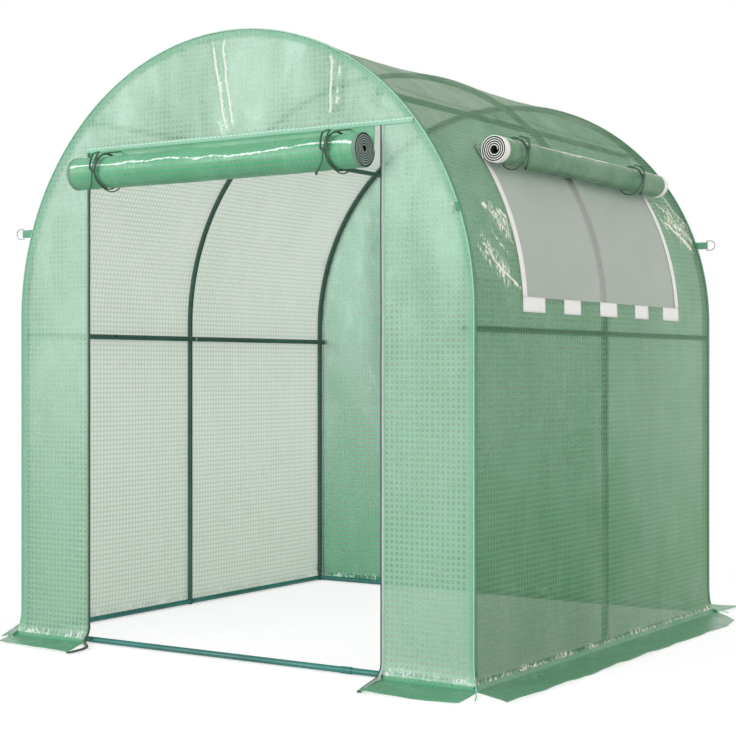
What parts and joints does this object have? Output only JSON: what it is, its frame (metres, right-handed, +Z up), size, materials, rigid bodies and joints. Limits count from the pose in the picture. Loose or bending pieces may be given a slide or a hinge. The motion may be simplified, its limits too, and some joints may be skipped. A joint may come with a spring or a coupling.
{
  "type": "polytunnel greenhouse",
  "caption": "Walk-in polytunnel greenhouse: arched steel tube frame under a green reinforced cover, with a rolled-up door, a window flap rolled up over insect mesh, ground skirts and guy loops.",
  "frame": {"origin": "on the ground at the middle of the plan, skirts included", "axes": "+Z up; -Y out through the doorway; +X towards the wall with the roll-up window"},
  "size_m": [2.18, 2.18, 1.995],
  "materials": {
    "frame_tube": "dark green powder coat on steel tube",
    "base_rail_tube": "teal green powder coat on steel tube",
    "bolts": "zinc plated",
    "cover": "green translucent film on a woven grid of threads",
    "skirt": "green translucent film on a woven grid of threads",
    "binding": "dark green sewn binding tape",
    "door_cloth": "rolled green cover film",
    "window_cloth": "rolled green cover film with white bound ends",
    "tie_cord": "dark green braided cord",
    "insect_mesh": "fine grey white insect netting",
    "border_strip": "white hook and loop tape",
    "webbing": "green woven webbing",
    "ring_wire": "zinc plated wire"
  },
  "bodies": {
    "root": {"front_hoop_arch": "frame_tube", "front_hoop_left_leg": "frame_tube", "front_hoop_right_leg": "frame_tube", "middle_hoop_arch": "frame_tube", "middle_hoop_left_leg": "frame_tube", "middle_hoop_right_leg": "frame_tube", "back_hoop_arch": "frame_tube", "back_hoop_left_leg": "frame_tube", "back_hoop_right_leg": "frame_tube", "left_side_purlin": "frame_tube", "right_side_purlin": "frame_tube", "left_roof_purlin": "frame_tube", "right_roof_purlin": "frame_tube", "front_base_rail": "base_rail_tube", "back_base_rail": "base_rail_tube", "left_base_rail": "base_rail_tube", "right_base_rail": "base_rail_tube", "purlin_bolts": "bolts", "front_left_panel": "cover", "front_right_panel": "cover", "front_gable": "cover", "back_wall": "cover", "left_wall": "cover", "right_wall": "cover", "left_roof_lower": "cover", "left_roof_upper": "cover", "right_roof_front": "cover", "right_roof_rear": "cover", "right_roof_upper": "cover", "front_left_skirt": "skirt", "front_right_skirt": "skirt", "left_skirt": "skirt", "right_skirt": "skirt", "back_skirt": "skirt", "door_edge_left": "binding", "door_edge_right": "binding", "door_roll": "door_cloth", "door_ties": "tie_cord", "window_screen": "insect_mesh", "window_border": "border_strip", "window_roll": "window_cloth", "window_ties": "tie_cord", "guy_straps": "webbing", "guy_rings": "ring_wire"}
  },
  "joints": []
}
